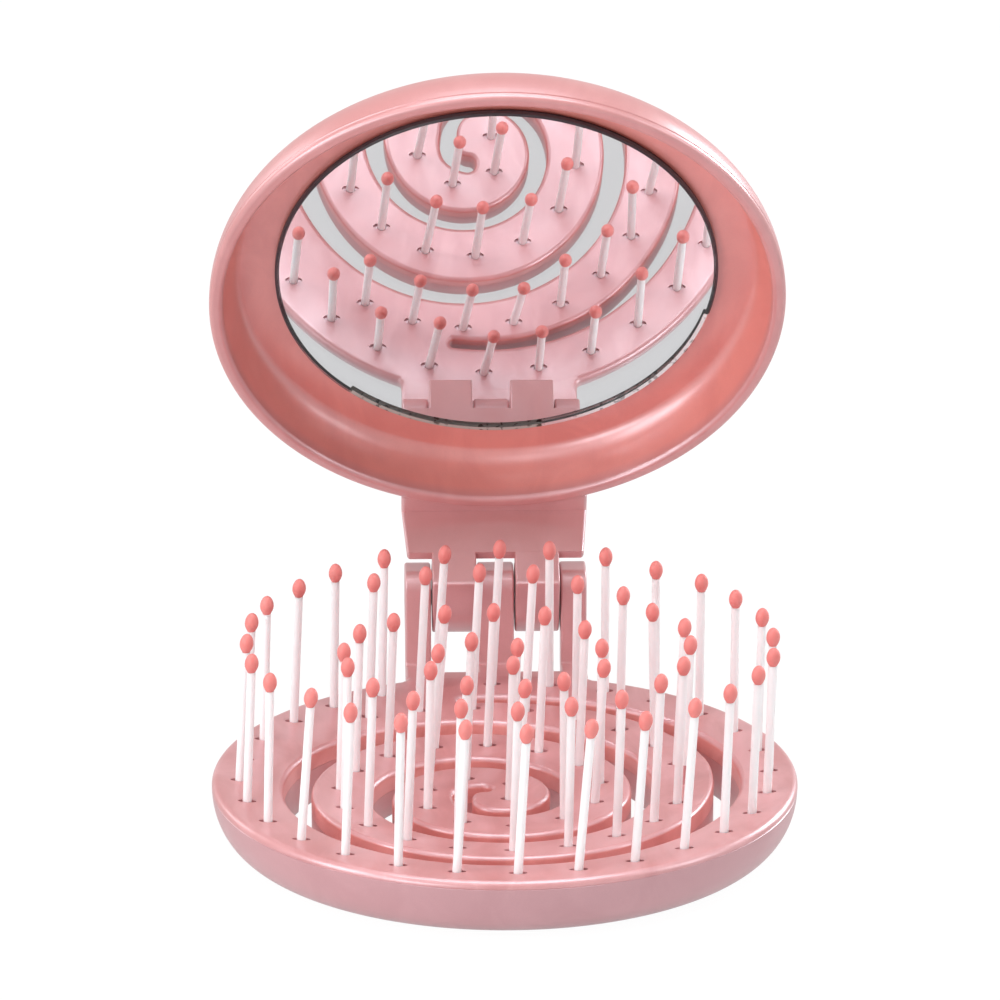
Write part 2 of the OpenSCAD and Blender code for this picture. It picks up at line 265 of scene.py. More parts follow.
tint = value_node(pearl_flow, "ShaderNodeMix", data_type="RGBA")
link(pearl_flow, clouded, tint.inputs["Factor"])
link(pearl_flow, flow_in.outputs["Pigment"], tint.inputs[6])
link(pearl_flow, flow_in.outputs["Bright"], tint.inputs[7])
sparkle = ranged(pearl_flow, noise(pearl_flow, FLAKE_SCALE, 1, place),
                 1 - FLAKE_SPARKLE, 1 + FLAKE_SPARKLE, FLAKE_LOW, FLAKE_HIGH)
flaked = value_node(pearl_flow, "ShaderNodeVectorMath", operation="SCALE")
link(pearl_flow, tint.outputs[2], flaked.inputs[0])
link(pearl_flow, sparkle, flaked.inputs["Scale"])
link(pearl_flow, flaked.outputs["Vector"], flow_out.inputs["Color"])
gloss_shift = value_node(pearl_flow, "ShaderNodeMath", {1: CLOUD_GLOSS}, operation="MULTIPLY_ADD")
link(pearl_flow, clouded, gloss_shift.inputs[0])
link(pearl_flow, flow_in.outputs["Gloss"], gloss_shift.inputs[2])
link(pearl_flow, gloss_shift.outputs["Value"], flow_out.inputs["Roughness"])
link(pearl_flow, noise(pearl_flow, RIPPLE_SCALE, 2, place), flow_out.inputs["Height"])

PEARL_SHEEN = (0.86, 0.84, 0.98)
PEARL_IOR, COAT_IOR, COAT_ROUGH = 1.8, 1.9, 0.28
COAT_OPEN, COAT_THIN = 0.6, 0.15
# Painted shade for hollows, and a painted glow for light through the slot's thin walls.
HOLLOW_SHADE_TINT = (1.26, 1.1, 0.96)
PAINTED_GLOW_TINT = (1.15, 1.45, 1.55)


def pearl_material(name, pigment, bright, gloss=0.42):
    """Pearl plastic with a mauve sheen. In hollows its colour carries painted shade, deeper and warmer
    as where light goes round several times, and the slot's thin walls carry a painted glow of light
    coming through them and are left matt."""
    material, tree, shader = new_material(name)
    flow = value_node(tree, "ShaderNodeGroup", node_tree=pearl_flow)
    set_sockets(flow, {"Pigment": (*pigment, 1), "Bright": (*bright, 1), "Gloss": gloss})
    hollow = value_node(tree, "ShaderNodeAttribute", attribute_name="hollow").outputs["Fac"]
    thin = ranged(tree, hollow, 0.0, 1.0, 1.0, 2.0)
    painted_bounce_shade = multiplied(tree, hollow, flow.outputs["Color"], HOLLOW_SHADE_TINT)
    painted_glow = multiplied(tree, thin, painted_bounce_shade, PAINTED_GLOW_TINT)
    link(tree, painted_glow, shader.inputs["Base Color"])
    link(tree, ranged(tree, thin, COAT_OPEN, COAT_THIN), shader.inputs["Coat Weight"])
    link(tree, flow.outputs["Roughness"], shader.inputs["Roughness"])
    relief = value_node(tree, "ShaderNodeBump", {"Strength": RIPPLE_STRENGTH, "Distance": RIPPLE_H})
    link(tree, flow.outputs["Height"], relief.inputs["Height"])
    link(tree, relief.outputs["Normal"], shader.inputs["Normal"])
    set_sockets(shader, {"IOR": PEARL_IOR, "Specular IOR Level": 1.0,
                         "Specular Tint": (*PEARL_SHEEN, 1),
                         "Coat IOR": COAT_IOR, "Coat Roughness": COAT_ROUGH})
    return material


pearl = pearl_material("pearl_pink_plastic", (0.6, 0.204, 0.188), (0.665, 0.248, 0.232))
# A lighter copy of the same pearl for the hinge posts and the lid's tab: painted light.
painted_lit_pearl = pearl_material("painted_lit_pearl_plastic", (0.63, 0.262, 0.25), (0.67, 0.295, 0.285))


# ---- Brush plate --------------------------------------------------------------
# The upper shell of the brush half: a dished plate with a rolled rim, bored for
# every bristle and slotted through in one long spiral with rounded edges.
SHELL_R, SHELL_H = 44.2, 9.6
PARTING, SEAM_BEVEL = 1.2, 0.08
DISH, DISH_R = 3.3, 40.0
DISH_BEND_R, DISH_BEND = 37.0, 6.24
PLATE_T, PLATE_STEP, PLATE_END_R = 1.8, 1.5, 42.9
WALL_H, WALL_T, WALL_JOIN = 2.9, 1.1, 0.9
TOOL_ABOVE, TOOL_BELOW = 0.6, 4.5
SKIRT_IN, SKIRT_T, SKIRT_LOW = 1.4, 1.1, 2.6
RIM_ROUND = 1.05
TURNS = 224

cloudy_pearl = pearl_material("cloudy_pearl_plastic", (0.555, 0.178, 0.166), (0.69, 0.29, 0.288))


def plate_z(r):
    """Height of the plate's surface: a bowl that runs out level before the rim."""
    slope = 2 * DISH * DISH_BEND_R / DISH_R ** 2
    if r < DISH_BEND_R:
        return SHELL_H - DISH * (1 - (r / DISH_R) ** 2)
    past = min(r - DISH_BEND_R, DISH_BEND)
    at_bend = SHELL_H - DISH * (1 - (DISH_BEND_R / DISH_R) ** 2)
    return at_bend + slope * (past - past ** 2 / (2 * DISH_BEND))


SPIRAL_X, SPIRAL_Y = -2.0, -0.4
SPIRAL_R0, SPIRAL_PITCH = 29.22, 12.7
SLOT_START, SLOT_END = 96.0, -970.0
SLOT_MAX_R, SLOT_MIN_R = 36.1, 4.4
SLOT_LEAD_FROM, SLOT_LEAD = 60.0, 0.02
SLOT_CURL_FROM, SLOT_CURL = -930.0, 0.016
SLOT_STEP, SLOT_STEP_PER_R = 0.35, 0.03
SLOT_HALF = [(-970, 1.4), (-800, 1.45), (-640, 1.5), (-450, 1.7), (-300, 1.8), (-190, 2.1),
             (-10, 2.15), (30, 1.4), (58, 0.95), (96, 0.7)]
SLOT_ROUND = 0.85


def spiral_r(a):
    """Radius of the spiral that the bristles follow, at an angle in degrees."""
    return SPIRAL_R0 + SPIRAL_PITCH * a / 360


def slot_r(a):
    """Radius of the slot's middle: half a pitch out from the bristles' spiral, led in at
    its outer end and curled at its eye."""
    curl = SLOT_CURL * max(0, SLOT_CURL_FROM - a)
    lead = SLOT_LEAD * max(0, a - SLOT_LEAD_FROM)
    return max(SLOT_MIN_R - curl, min(SLOT_MAX_R - lead, spiral_r(a) + SPIRAL_PITCH / 2))


def slot_half(a):
    """Half the slot's width, eased between the angles it is given for."""
    for (a0, h0), (a1, h1) in zip(SLOT_HALF, SLOT_HALF[1:]):
        if a <= a1:
            t = max(0, (a - a0) / (a1 - a0))
            return h0 + (h1 - h0) * (t * t * (3 - 2 * t))
    return SLOT_HALF[-1][1]


slot_angles = [SLOT_START]
while slot_angles[-1] > SLOT_END:
    r = slot_r(slot_angles[-1])
    slot_angles.append(slot_angles[-1] - math.degrees((SLOT_STEP + SLOT_STEP_PER_R * r) / r))
slot_angles[-1] = SLOT_END


def on_spiral(a, r):
    """A point at an angle and a radius about the spiral's middle."""
    return (SPIRAL_X + r * math.cos(math.radians(a)), SPIRAL_Y + r * math.sin(math.radians(a)))


def slot_outline(extra):
    """The slot's outline, wider by extra on each side, with round ends."""
    def end(a, first, last):
        x, y = on_spiral(a, slot_r(a))
        half = slot_half(a) + extra
        turns = [math.radians(a + first + (last - first) * i / 10) for i in range(1, 10)]
        return [(x + half * math.cos(t), y + half * math.sin(t)) for t in turns]

    outer = [on_spiral(a, slot_r(a) + slot_half(a) + extra) for a in slot_angles]
    inner = [on_spiral(a, slot_r(a) - slot_half(a) - extra) for a in reversed(slot_angles)]
    return outer + end(SLOT_END, 0, -180) + inner + end(SLOT_START, 180, 0)


def swept_solid(outlines, heights):
    """A closed solid through outlines with the same number of points, with the
    height of each given by a function of the distance from the centre."""
    bm = bmesh.new()
    ring = [bm.verts.new((x, y, 0)) for x, y in outlines[0]]
    edges = [bm.edges.new(pair) for pair in zip(ring, ring[1:] + ring[:1])]
    bmesh.ops.triangle_fill(bm, use_beauty=True, edges=edges)
    rings = [ring]
    for outline in outlines[1:]:
        grown = bmesh.ops.extrude_edge_only(bm, edges=edges)["geom"]
        fresh = {g for g in grown if isinstance(g, bmesh.types.BMVert)}
        ring = [next(e.other_vert(v) for e in v.link_edges if e.other_vert(v) in fresh) for v in ring]
        for v, (x, y) in zip(ring, outline):
            v.co = (x, y, 0)
        edges = [bm.edges.get(pair) for pair in zip(ring, ring[1:] + ring[:1])]
        rings.append(ring)
    bmesh.ops.triangle_fill(bm, use_beauty=True, edges=edges)
    for ring, height in zip(rings, heights):
        for v in ring:
            v.co.z = height(math.hypot(v.co.x, v.co.y))
    bmesh.ops.recalc_face_normals(bm, faces=bm.faces)
    return bm


def turned_solid(profile):
    """A solid turned about the Z axis from an outline in X and Z."""
    bm = bmesh.new()
    verts = [bm.verts.new((x, 0, z)) for x, z in profile]
    closed = profile[0][0] > 0 or profile[-1][0] > 0
    ends = verts[1:] + verts[:1] if closed else verts[1:]
    edges = [bm.edges.new(pair) for pair in zip(verts, ends)]
    bmesh.ops.spin(bm, geom=verts + edges, axis=(0, 0, 1), cent=(0, 0, 0),
                   angle=math.tau, steps=TURNS, use_merge=True)
    bmesh.ops.remove_doubles(bm, verts=bm.verts, dist=1e-5)
    bmesh.ops.recalc_face_normals(bm, faces=bm.faces)
    return bm


def arc(cx, cz, w, h, a0, a1, n):
    """Points on an ellipse about (cx, cz), from angle a0 to a1 in degrees."""
    turns = [math.radians(a0 + (a1 - a0) * i / n) for i in range(n + 1)]
    return [(cx + w * math.cos(t), cz + h * math.sin(t)) for t in turns]


def as_object(bm, name):
    """An object in millimetres from a bmesh, before it is cut or finished."""
    mesh = bpy.data.meshes.new(name)
    bm.to_mesh(mesh)
    bm.free()
    made = bpy.data.objects.new(name, mesh)
    scene.collection.objects.link(made)
    return made


def cut(target, tool, operation="DIFFERENCE"):
    """Cuts the tool out of the target, or joins it, and removes the tool."""
    step = target.modifiers.new("cut", "BOOLEAN")
    step.operation = operation
    step.solver = "EXACT"
    step.object = tool
    bpy.context.view_layer.update()
    graph = bpy.context.evaluated_depsgraph_get()
    mesh = bpy.data.meshes.new_from_object(target.evaluated_get(graph))
    target.modifiers.remove(step)
    target.data = mesh
    bpy.data.objects.remove(tool)


def mark_hollow(made, share, full=1.0):
    """Stores how far each point lies in a hollow, from 0 to full, from a function of its place; the
    pearl material paints shade there. Above 1 the hollow's wall is thin as well, and takes a painted
    glow."""
    depth = made.data.attributes.new("hollow", "FLOAT", "POINT")
    shares = [min(1.0, max(0.0, share(v.co))) for v in made.data.vertices]
    depth.data.foreach_set("value", [full * each for each in shares])


def finish_piece(made, body, material, nodes, sharp=38, weighted=True, turn=None):
    """Puts a piece in metres and in its place, shades it and puts it on its body."""
    mesh = made.data
    if turn is not None:
        mesh.transform(turn)
    mesh.transform(Matrix.Scale(MM, 4))
    mesh.materials.clear()
    for m in material if isinstance(material, list) else [material]:
        mesh.materials.append(m)
    mesh.shade_smooth()
    mesh.set_sharp_from_angle(angle=math.radians(sharp))
    if weighted:
        normals = made.modifiers.new("normals", "WEIGHTED_NORMAL")
        normals.keep_sharp = True
        normals.weight = 50
    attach(made, body)
    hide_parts(*nodes)


plate_rings = [PLATE_STEP * i for i in range(29)] + [PLATE_END_R]
skirt_out = SHELL_R - SKIRT_IN
skirt_in = skirt_out - SKIRT_T
under = [(r, plate_z(r) - PLATE_T) for r in plate_rings[::4] if r < skirt_in - 0.5]
rim_edge = arc(SHELL_R - RIM_ROUND, SHELL_H - RIM_ROUND, RIM_ROUND, RIM_ROUND, 0, 90, 7)
plate_profile = (under + [(skirt_in, SHELL_H - PLATE_T), (skirt_in, SHELL_H - SKIRT_LOW),
                          (skirt_out, SHELL_H - SKIRT_LOW), (skirt_out, SHELL_H - PARTING),
                          (SHELL_R - SEAM_BEVEL, SHELL_H - PARTING),
                          (SHELL_R, SHELL_H - PARTING + SEAM_BEVEL)]
                 + rim_edge + [(r, plate_z(r)) for r in reversed(plate_rings)])
brush_plate = as_object(turned_solid(plate_profile), "brush_plate_shell")

slot_wall = swept_solid([slot_outline(WALL_T)] * 2,
                        [lambda r: plate_z(r) - WALL_JOIN, lambda r: plate_z(r) - WALL_H])
cut(brush_plate, as_object(slot_wall, "slot_wall"), "UNION")

bends = [math.radians(b) for b in (12, 27, 42, 57, 72, 90)]
edge_bend = [(SLOT_ROUND * (1 - math.sin(b)), SLOT_ROUND * (1 - math.cos(b))) for b in bends]
flare = [(0.92 * SLOT_ROUND, -TOOL_ABOVE)] + edge_bend + [(0.0, TOOL_BELOW)]
slot_tool = swept_solid([slot_outline(out) for out, _ in flare],
                        [lambda r, down=down: plate_z(r) - down for _, down in flare])
cut(brush_plate, as_object(slot_tool, "slot_tool"))

RING_N, RING_R, RING_START = 28, 40.0, 91.2
SPIRAL_N, SPIRAL_GAP, SPIRAL_START = 35, 8.39, 122.7
ring_turns = [math.radians(RING_START + 360 * i / RING_N) for i in range(RING_N)]
ring_points = [(RING_R * math.cos(t), RING_R * math.sin(t)) for t in ring_turns]
spiral_points = []
a = SPIRAL_START
for _ in range(SPIRAL_N):
    spiral_points.append(on_spiral(a, spiral_r(a)))
    a -= math.degrees(SPIRAL_GAP / spiral_r(a))

HOLE_R, HOLE_L = 0.74, 6
OVAL_L, OVAL_W, OVAL_DEPTH, OVAL_ABOVE = 1.4, 0.62, 0.75, 0.6


def pocket_outline(cx, cy):
    """The shallow oval across a bristle's hole, as wide as the hole in its middle."""
    quarter = [(OVAL_L * math.cos(math.radians(t)), OVAL_W * math.sin(math.radians(t)))
               for t in (0, 20, 38, 55)]
    quarter += [(HOLE_R * math.cos(math.radians(t)), HOLE_R * math.sin(math.radians(t)))
                for t in (32, 50, 70)]
    top = quarter + [(0, HOLE_R)] + [(-x, y) for x, y in reversed(quarter)]
    low = [(-x, -y) for x, y in top[1:-1]]
    return [(cx + x, cy + y) for x, y in top + low]


pockets, holes = bmesh.new(), bmesh.new()
for cx, cy in ring_points + spiral_points:
    surface = plate_z(math.hypot(cx, cy))
    loop = [pockets.verts.new((x, y, surface + OVAL_ABOVE)) for x, y in pocket_outline(cx, cy)]
    drawn = bmesh.ops.extrude_face_region(pockets, geom=[pockets.faces.new(loop)])["geom"]
    bmesh.ops.translate(pockets, verts=[g for g in drawn if isinstance(g, bmesh.types.BMVert)],
                        vec=(0, 0, -OVAL_ABOVE - OVAL_DEPTH))
    bmesh.ops.create_cone(holes, cap_ends=True, segments=16, radius1=HOLE_R, radius2=HOLE_R,
                          depth=HOLE_L, matrix=Matrix.Translation((cx, cy, surface)))
bmesh.ops.recalc_face_normals(pockets, faces=pockets.faces)
cut(brush_plate, as_object(pockets, "pocket_tool"))
cut(brush_plate, as_object(holes, "hole_tool"))


POCKET_NEAR = 1.8
SLOT_REACH_R = SLOT_MAX_R + 4
SHADE_FROM, SHADE_OVER = 0.35, 0.6


def down_slot(co):
    """How far a point of the plate lies down the slot, and nothing in a pocket."""
    pocket = any(abs(co.x - x) < POCKET_NEAR and abs(co.y - y) < POCKET_NEAR
                 for x, y in ring_points + spiral_points)
    r = math.hypot(co.x, co.y)
    return 0.0 if pocket or r > SLOT_REACH_R else (plate_z(r) - co.z - SHADE_FROM) / SHADE_OVER


# Painted shade down the slot, and a painted glow on its thin walls.
mark_hollow(brush_plate, down_slot, full=2.0)
finish_piece(brush_plate, "brush", cloudy_pearl, ["brush_plate"])


# ---- Hinge tab and posts ------------------------------------------------------
# The tab grows out of the plate's rim with rounded inner corners and carries
# three posts, which are bored for the hinge pin. Moulded in one with the plate.
HINGE_Y, HINGE_Z, KNUCKLE_R = 54.0, 18.95, 5.5
MID_POST_W, END_POST_W, KNUCKLE_W, KNUCKLE_GAP = 5.7, 4.1, 6.6, 0.35
HINGE_W = MID_POST_W + 4 * KNUCKLE_GAP + 2 * KNUCKLE_W + 2 * END_POST_W
PIN_R = 1.25
ARM_T, ARM_EDGE = 3.2, 0.8
TAB_FRONT, CORNER_R = 44.6, 1.1
POST_HEAD_R = KNUCKLE_R - 2.9
POST_EDGE, POST_GAP, POST_SINK = 0.38, 0.02, 0.03
TAB_ROOT, TAB_SINK = 2.2, 0.002
POST_BORE_PLAY = 0.02
EDGE_STEPS = 5
SHARPEST = 0.35


def offset_outline(points, distance):
    """A closed outline moved inwards by a distance at every side."""
    n = len(points)
    area = sum(points[i][0] * points[(i + 1) % n][1] - points[(i + 1) % n][0] * points[i][1]
               for i in range(n))
    side = 1 if area > 0 else -1
    moved = []
    for i, (x, y) in enumerate(points):
        before = Vector((x - points[i - 1][0], y - points[i - 1][1])).normalized()
        after = Vector((points[(i + 1) % n][0] - x, points[(i + 1) % n][1] - y)).normalized()
        n0, n1 = Vector((-before.y, before.x)), Vector((-after.y, after.x))
        mitre = (n0 + n1).normalized()
        reach = distance / max(SHARPEST, mitre.dot(n0))
        moved.append((x + side * mitre.x * reach, y + side * mitre.y * reach))
    return moved


def rounded_slab(outline, low, high, edge, top=None):
    """A slab between two heights with rounded edges all round on both faces. Where top
    is given, the upper face follows that function of the distance from the centre."""
    bends = [math.radians(90 * i / EDGE_STEPS) for i in range(EDGE_STEPS + 1)]
    rises = [edge * (1 - math.cos(b)) for b in bends]
    insets = [edge * (1 - math.sin(b)) for b in bends]
    top = top or (lambda r: high)
    heights = [lambda r, z=low + rise: z for rise in rises]
    heights += [lambda r, drop=rise: top(r) - drop for rise in reversed(rises)]
    outlines = [offset_outline(outline, inset) for inset in insets + insets[::-1]]
    return swept_solid(outlines, heights)


def along_x(bm, middle):
    """Stands a slab drawn in Y and Z up, so that its thickness runs along X."""
    upright = Matrix(((0, 0, 1, middle), (1, 0, 0, 0), (0, 1, 0, 0), (0, 0, 0, 1)))
    bmesh.ops.transform(bm, verts=bm.verts, matrix=upright)
    return bm


def joined(parts, name):
    """One object from several bmeshes."""
    whole = bmesh.new()
    for part in parts:
        mesh = bpy.data.meshes.new("part")
        part.to_mesh(mesh)
        part.free()
        whole.from_mesh(mesh)
        bpy.data.meshes.remove(mesh)
    return as_object(whole, name)


half_w = HINGE_W / 2
corner_y = math.sqrt((SHELL_R + CORNER_R) ** 2 - (half_w + CORNER_R) ** 2)
tangent = math.degrees(math.atan2(corner_y, half_w + CORNER_R))
fillet = arc(half_w + CORNER_R, corner_y, CORNER_R, CORNER_R, 180 + tangent, 180, 6)
inner_r = SHELL_R - TAB_ROOT
start = math.degrees(math.asin(fillet[0][0] / inner_r))
back_arc = [(inner_r * math.sin(math.radians(t)), inner_r * math.cos(math.radians(t)))
            for t in [start - 2 * start * i / 16 for i in range(17)]]
right = fillet + [(half_w, TAB_FRONT + 1.2)]
tab_outline = right + [(-x, y) for x, y in reversed(right)] + list(reversed(back_arc))
tab = rounded_slab(tab_outline, SHELL_H - ARM_T, SHELL_H, ARM_EDGE,
                   top=lambda r: plate_z(r) - TAB_SINK)

front = HINGE_Y - KNUCKLE_R
arm_z = SHELL_H - ARM_T
post_outline = ([(TAB_FRONT - 1.6, SHELL_H - POST_SINK), (TAB_FRONT - 1.6, arm_z + POST_SINK),
                 (front + 2.6, arm_z + POST_SINK), (front + 3.5, arm_z + 0.9),
                 (front + 4.4, arm_z + 1.8), (front + 4.9, HINGE_Z - KNUCKLE_R)]
                + arc(HINGE_Y, HINGE_Z, KNUCKLE_R, KNUCKLE_R, -80, 90, 22)
                + arc(front + POST_HEAD_R, HINGE_Z + KNUCKLE_R - POST_HEAD_R,
                      POST_HEAD_R, POST_HEAD_R, 90, 180, 10)
                + [(front, SHELL_H + 0.5), (front - 0.15, SHELL_H + 0.15),
                   (front - 0.5, SHELL_H - POST_SINK)])
post_parts = [tab]
end_x = (HINGE_W - END_POST_W) / 2
for x, w in ((-end_x, END_POST_W), (0, MID_POST_W), (end_x, END_POST_W)):
    half = w / 2 - POST_GAP
    post_parts.append(along_x(rounded_slab(post_outline, -half, half, POST_EDGE), x))
hinge_posts = joined(post_parts, "hinge_posts")


def pin_bore(play):
    """A tool for the round bore along the hinge line, wider than the pin by some play."""
    bm = bmesh.new()
    bmesh.ops.create_cone(bm, cap_ends=True, segments=48, radius1=PIN_R + play,
                          radius2=PIN_R + play, depth=HINGE_W + 2)
    bmesh.ops.rotate(bm, verts=bm.verts, cent=(0, 0, 0), matrix=Matrix.Rotation(math.pi / 2, 3, "Y"))
    bmesh.ops.translate(bm, verts=bm.verts, vec=(0, HINGE_Y, HINGE_Z))
    return as_object(bm, "bore_tool")


cut(hinge_posts, pin_bore(POST_BORE_PLAY))
# The posts and tab take the lighter pearl copy: painted light.
finish_piece(hinge_posts, "brush", painted_lit_pearl, ["brush_plate"])


# ---- Brush back ---------------------------------------------------------------
# The lower shell of the brush half: a flat underside, a rounded side and walls
# along the slot that meet those of the plate at a fine seam.
FLAT_R, SIDE_T, FLOOR_T = 38.0, 1.15, 1.5
WALL_SEAM, WALL_FOOT = 0.05, 0.7
LOW_ROUND, LOW_TOOL_BELOW, LOW_TOOL_UP = 0.6, 0.8, 2.2
NOTCH_IN, NOTCH_D, NOTCH_PLAY = 5, 6, 0.2
SHADE_UP_FROM = 0.3
side_w, side_h = SHELL_R - FLAT_R, SHELL_H - PARTING

# A darker, mauve copy of the same pearl for the back shell: a painted sheen.
painted_sheen_pearl = pearl_material("painted_sheen_pearl_plastic", (0.51, 0.205, 0.212), (0.55, 0.235, 0.245))


def side_z(r):
    """Height of the underside: flat, then rising along the rounded side."""
    if r <= FLAT_R:
        return 0.0
    return side_h * (1 - math.sqrt(max(0.0, 1 - ((r - FLAT_R) / side_w) ** 2)))


outside = arc(FLAT_R, side_h, side_w, side_h, -90, -1.5, 26)
inside = arc(FLAT_R, side_h, side_w - SIDE_T, side_h - FLOOR_T, 0, -90, 12)
back_profile = ([(r, 0.0) for r in (0, 6, 12, 18, 24, 30)] + outside
                + [(SHELL_R, side_h - SEAM_BEVEL), (SHELL_R - SEAM_BEVEL, side_h),
                   (SHELL_R - SIDE_T, side_h)]
                + inside[1:] + [(r, FLOOR_T) for r in (24, 12, 0)])
brush_back = as_object(turned_solid(back_profile), "brush_back_shell")
back_wall = swept_solid([slot_outline(WALL_T)] * 2,
                        [lambda r: plate_z(r) - WALL_H - WALL_SEAM, lambda r: side_z(r) + WALL_FOOT])
cut(brush_back, as_object(back_wall, "back_wall"), "UNION")
low_flare = ([(SLOT_ROUND * 0.9, -LOW_TOOL_BELOW)]
             + [(out * LOW_ROUND, up * LOW_ROUND) for out, up in edge_bend] + [(0.0, LOW_TOOL_UP)])
levels = [(out, lambda r, up=up: side_z(r) + up) for out, up in low_flare]
levels.append((0.0, lambda r: SHELL_H + 1))
cut(brush_back, as_object(swept_solid([slot_outline(out) for out, _ in levels],
                                      [height for _, height in levels]), "slot_tool"))


def notch_tool(height, middle_z):
    """A tool that cuts room for a tab into a shell's side."""
    notch = bmesh.new()
    bmesh.ops.create_cube(notch, size=1)
    bmesh.ops.scale(notch, verts=notch.verts, vec=(HINGE_W + NOTCH_PLAY, NOTCH_D, height))
    bmesh.ops.translate(notch, verts=notch.verts, vec=(0, SHELL_R - NOTCH_IN + NOTCH_D / 2, middle_z))
    return as_object(notch, "notch_tool")


cut(brush_back, notch_tool(6, SHELL_H - ARM_T + 3 - 0.02))


def up_slot(co):
    """How far a point of the back lies up the slot from the underside."""
    r = math.hypot(co.x, co.y)
    return (co.z - side_z(r) - SHADE_UP_FROM) / SHADE_OVER if r < SLOT_REACH_R else 0.0


# Painted shade up the slot, and a painted glow on its thin walls.
mark_hollow(brush_back, up_slot, full=2.0)
finish_piece(brush_back, "brush", painted_sheen_pearl, ["brush_back"])


# ---- Bristle carriers ---------------------------------------------------------
# Two strips of the same pink plastic under the plate, which hold the bristles'
# feet. Only their tops show, down in the bristles' holes.
carrier_pink = pearl_material("carrier_plastic", (0.6, 0.3, 0.3), (0.66, 0.36, 0.36), gloss=0.5)


def finish_node(name, material):
    """Gives a piece that keeps its shape its material."""
    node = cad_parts[name]
    node.data.materials.clear()
    node.data.materials.append(material)


for name in ("ring_carrier", "spiral_carrier"):
    finish_node(name, carrier_pink)


# ---- Bristles -----------------------------------------------------------------
# Stiff nylon bristles, drawn a touch thinner towards the top, milky and a little
# translucent. None stands quite straight after use.
BRISTLE_H, BRISTLE_D, BRISTLE_DRAW = 23.45, 1.36, 0.02
TIP_D, TIP_H, TIP_SINK = 2.1, 3.2, 0.3
TIP_WAIST, TIP_DRAW = -0.2, 0.18
FOOT_DEPTH = 3.0
TIP_MID = BRISTLE_H - TIP_H / 2
OUTER_TURN_N = 20
RING_LEANS = [(1.2, 0.9), (1.5, -0.2), (0.5, 1.2), (0.4, -0.4), (1, -0.8), (0.7, -0.8), (1.2, 0),
              (1.3, -0.3), (0.9, -0.2), (0.5, -0.1), (1.6, 0.7), (0.9, 0.5), (0.5, 0.7), (1.3, 0.3),
              (1.2, -0.8), (1.8, -0.1), (1.4, -0.2), (1.4, 0.1), (0.7, -0.5), (0.7, -0.5), (0.6, -1.3),
              (0.3, -1.4), (0.4, -1.4), (0, -1.4), (0.1, -1.4), (-0.1, -1.4), (0.1, 0.4), (0, 0.9)]
SPIRAL_LEANS = [(0.8, 0), (1.1, 0.3), (1.2, 0.7), (1.2, 1.4), (0.2, -0.2), (0.4, -0.2), (-0.5, -1),
                (1, -0.1), (0.7, 0.6), (0.8, -0.3), (0.9, -0.3), (0.6, -1), (0.4, 0), (0.6, -0.3),
                (0.5, 0), (0.9, -0.1), (0.8, -0.2), (0.6, 1.3), (0.7, -0.2), (0.8, 0.4), (0.9, -0.8),
                (1.6, -1), (0.9, -0.9), (0.9, 0.2), (0.8, -0.3), (0.2, -0.8), (1.2, -1.4),
                (-0.1, -0.5), (1.5, -0.4), (0.7, -0.6), (0.5, 0), (1.5, -0.1), (0.9, 0.4), (0.9, 0.1),
                (0.5, -1.4)]

nylon, tree, shader = new_material("milky_nylon")
haze = noise(tree, 420, 3)
link(tree, mixed(tree, haze, (0.95, 0.9, 0.92), (0.98, 0.95, 0.97)), shader.inputs["Base Color"])
link(tree, ranged(tree, haze, 0.28, 0.42), shader.inputs["Roughness"])
set_sockets(shader, {"Subsurface Weight": 0.35, "Subsurface Radius": (1.0, 0.8, 0.8),
                     "Subsurface Scale": 0.0012})

resin, tree, shader = new_material("salmon_resin")
cast = noise(tree, 160, 4)
link(tree, mixed(tree, cast, (0.76, 0.2, 0.185), (0.84, 0.28, 0.26)), shader.inputs["Base Color"])
link(tree, ranged(tree, cast, 0.38, 0.5), shader.inputs["Roughness"])
set_sockets(shader, {"Subsurface Weight": 0.2, "Subsurface Radius": (1.0, 0.5, 0.45),
                     "Subsurface Scale": 0.001})


def bristle_row(name, points, leans):
    """Bristles and tips for a row of points, each leaning as use has bent it, by so
    many millimetres at the tip."""
    stems, tips = bmesh.new(), bmesh.new()
    length = FOOT_DEPTH + BRISTLE_H - TIP_H + TIP_SINK
    to_middle = Matrix.Translation((0, 0, length / 2))
    to_tip = Matrix.Translation((0, 0, length + TIP_H / 2 - TIP_SINK))
    for (x, y), (lean_x, lean_y) in zip(points, leans):
        shear = Matrix.Identity(4)
        shear[0][2], shear[1][2] = lean_x / TIP_MID, lean_y / TIP_MID
        root = Matrix.Translation((x, y, plate_z(math.hypot(x, y))))
        stand = root @ shear @ Matrix.Translation((0, 0, -FOOT_DEPTH))
        bmesh.ops.create_cone(stems, cap_ends=True, segments=14, radius1=BRISTLE_D / 2,
                              radius2=BRISTLE_D / 2 - BRISTLE_DRAW, depth=length,
                              matrix=stand @ to_middle)
        tip = bmesh.ops.create_uvsphere(tips, u_segments=16, v_segments=12, radius=1.0)["verts"]
        for v in tip:
            narrow = 1 - TIP_DRAW * max(0.0, TIP_WAIST - v.co.z)
            v.co = (v.co.x * narrow * TIP_D / 2, v.co.y * narrow * TIP_D / 2, v.co.z * TIP_H / 2)
        bmesh.ops.transform(tips, verts=tip, matrix=stand @ to_tip)
    finish_piece(as_object(stems, name + "_bristle_stems"), "brush", nylon,
                 [name + "_bristles"], sharp=60, weighted=False)
    finish_piece(as_object(tips, name + "_ball_tips"), "brush", resin,
                 [name + "_tips"], sharp=80, weighted=False)


